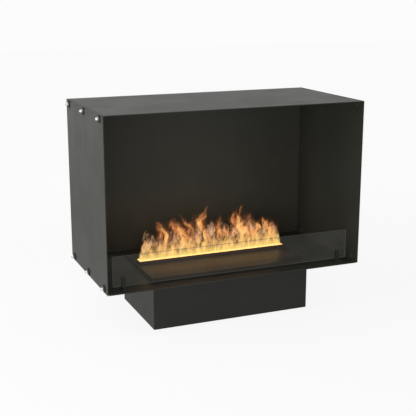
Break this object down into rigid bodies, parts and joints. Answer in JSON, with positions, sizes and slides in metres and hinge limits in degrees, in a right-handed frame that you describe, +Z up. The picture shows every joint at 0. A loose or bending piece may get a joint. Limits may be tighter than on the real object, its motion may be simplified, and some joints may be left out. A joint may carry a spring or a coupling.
{
  "type": "water vapour fireplace",
  "caption": "Open-fronted black steel fire casing on a narrower base: an ultrasonic mist burner feeds a lit slot behind a low smoked glass guard.",
  "frame": {"origin": "centre of the casing's footprint, on the ground that the base stands on", "axes": "+X to the right seen from the open front, +Y from the front to the back, +Z up"},
  "size_m": [1.0292, 0.49, 0.8],
  "materials": {
    "black_sheet": "fine black powder coat",
    "stainless": "polished stainless steel",
    "zinc": "zinc-plated steel",
    "bare_aluminium": "extruded aluminium",
    "black_rubber": "matt black rubber",
    "black_plastic": "fine black plastic",
    "grey_plastic": "light grey plastic",
    "white_plastic": "white plastic",
    "clear_plastic": "clear moulded plastic",
    "amber_plastic": "translucent amber, lit from below",
    "red_plastic": "glossy red plastic",
    "smoke_glass": "smoked toughened glass",
    "green_board": "green lacquered board"
  },
  "bodies": {
    "casing": {"left_side_panel": "black_sheet", "right_side_panel": "black_sheet", "top_panel": "black_sheet", "floor_panel": "black_sheet", "back_panel": "black_sheet", "back_screws": "stainless", "casing_bolts": "black_sheet", "casing_washers": "black_rubber", "casing_dome_nuts": "stainless", "base_shell": "black_sheet", "base_bottom_plate": "black_sheet", "base_rear_panel": "black_sheet", "base_screws": "zinc", "panel_screws": "zinc", "glass_holder_left": "black_sheet", "glass_holder_right": "black_sheet", "glass_liners": "black_rubber", "cassette_tray": "zinc", "mist_sump": "black_plastic", "hood_gasket": "black_rubber", "mist_hood": "black_plastic", "mist_makers": "black_plastic", "maker_discs": "stainless", "maker_seal_rings": "black_rubber", "led_bar_front": "bare_aluminium", "led_bar_rear": "bare_aluminium", "led_chips": "amber_plastic", "float_stem": "stainless", "fan_frame_left": "black_plastic", "fan_frame_right": "black_plastic", "fan_screws": "zinc", "power_supply": "bare_aluminium", "control_box": "black_plastic", "control_box_lid": "black_plastic", "driver_board": "green_board", "driver_heat_sink": "bare_aluminium", "board_standoffs": "zinc", "tank_basin": "black_plastic", "feed_pipe": "black_rubber", "power_inlet": "black_plastic", "inlet_pins": "stainless", "switch_body": "black_plastic", "button_housing": "black_plastic"},
    "glass": {"glass_guard": "smoke_glass"},
    "cover": {"burner_cover": "black_sheet", "slot_light_frame": "amber_plastic"},
    "tank": {"water_tank": "clear_plastic", "tank_lid": "black_plastic"},
    "handle": {"tank_handle": "stainless"},
    "cap": {"tank_cap": "black_plastic", "cap_seal": "black_rubber"},
    "plunger": {"cap_plunger": "white_plastic"},
    "rotor_left": {"fan_rotor_left": "black_plastic"},
    "rotor_right": {"fan_rotor_right": "black_plastic"},
    "rocker": {"switch_rocker": "red_plastic"},
    "mode_button": {"button_mode": "grey_plastic"},
    "up_button": {"button_up": "grey_plastic"},
    "down_button": {"button_down": "grey_plastic"},
    "float": {"float_ring": "white_plastic"},
    "filter": {"filter_frame": "black_plastic"}
  },
  "joints": [
    {"name": "glass_lift", "type": "slide", "parent": "casing", "child": "glass", "axis": [0, 0, 1], "range_m": [0, 0.04]},
    {"name": "cover_lift", "type": "slide", "parent": "casing", "child": "cover", "axis": [0, 0, 1], "range_m": [0, 0.06]},
    {"name": "tank_lift", "type": "slide", "parent": "casing", "child": "tank", "axis": [0, 0, 1], "range_m": [0, 0.16]},
    {"name": "handle_hinge", "type": "hinge", "parent": "tank", "child": "handle", "pos_m": [0, 0.09, 0.1873], "axis": [1, 0, 0], "range_deg": [0, 90]},
    {"name": "cap_turn", "type": "hinge", "parent": "tank", "child": "cap", "pos_m": [0, 0.104, 0.0655], "axis": [0, 0, 1], "range_deg": [0, 90]},
    {"name": "plunger_slide", "type": "slide", "parent": "cap", "child": "plunger", "axis": [0, 0, 1], "range_m": [-0.003, 0]},
    {"name": "fan_left_spin", "type": "hinge", "parent": "casing", "child": "rotor_left", "pos_m": [-0.15, -0.0375, 0.1216], "axis": [0, 1, 0], "continuous": true},
    {"name": "fan_right_spin", "type": "hinge", "parent": "casing", "child": "rotor_right", "pos_m": [0.15, -0.0375, 0.1216], "axis": [0, 1, 0], "continuous": true},
    {"name": "power_rocker", "type": "hinge", "parent": "casing", "child": "rocker", "pos_m": [-0.216, 0.172, 0.06], "axis": [1, 0, 0], "range_deg": [-16, 0]},
    {"name": "mode_press", "type": "slide", "parent": "casing", "child": "mode_button", "axis": [0, -1, 0], "range_m": [0, 0.0015], "stiffness_N_per_m": 600, "springref_m": -0.001},
    {"name": "up_press", "type": "slide", "parent": "casing", "child": "up_button", "axis": [0, -1, 0], "range_m": [0, 0.0015], "stiffness_N_per_m": 600, "springref_m": -0.001},
    {"name": "down_press", "type": "slide", "parent": "casing", "child": "down_button", "axis": [0, -1, 0], "range_m": [0, 0.0015], "stiffness_N_per_m": 600, "springref_m": -0.001},
    {"name": "float_rise", "type": "slide", "parent": "casing", "child": "float", "axis": [0, 0, 1], "range_m": [0, 0.01]},
    {"name": "filter_pull", "type": "slide", "parent": "casing", "child": "filter", "axis": [0, 1, 0], "range_m": [0, 0.02]}
  ],
  "couplings": [
    {"joint": "plunger_slide", "follows": "tank_lift", "ratio": -0.01875}
  ]
}
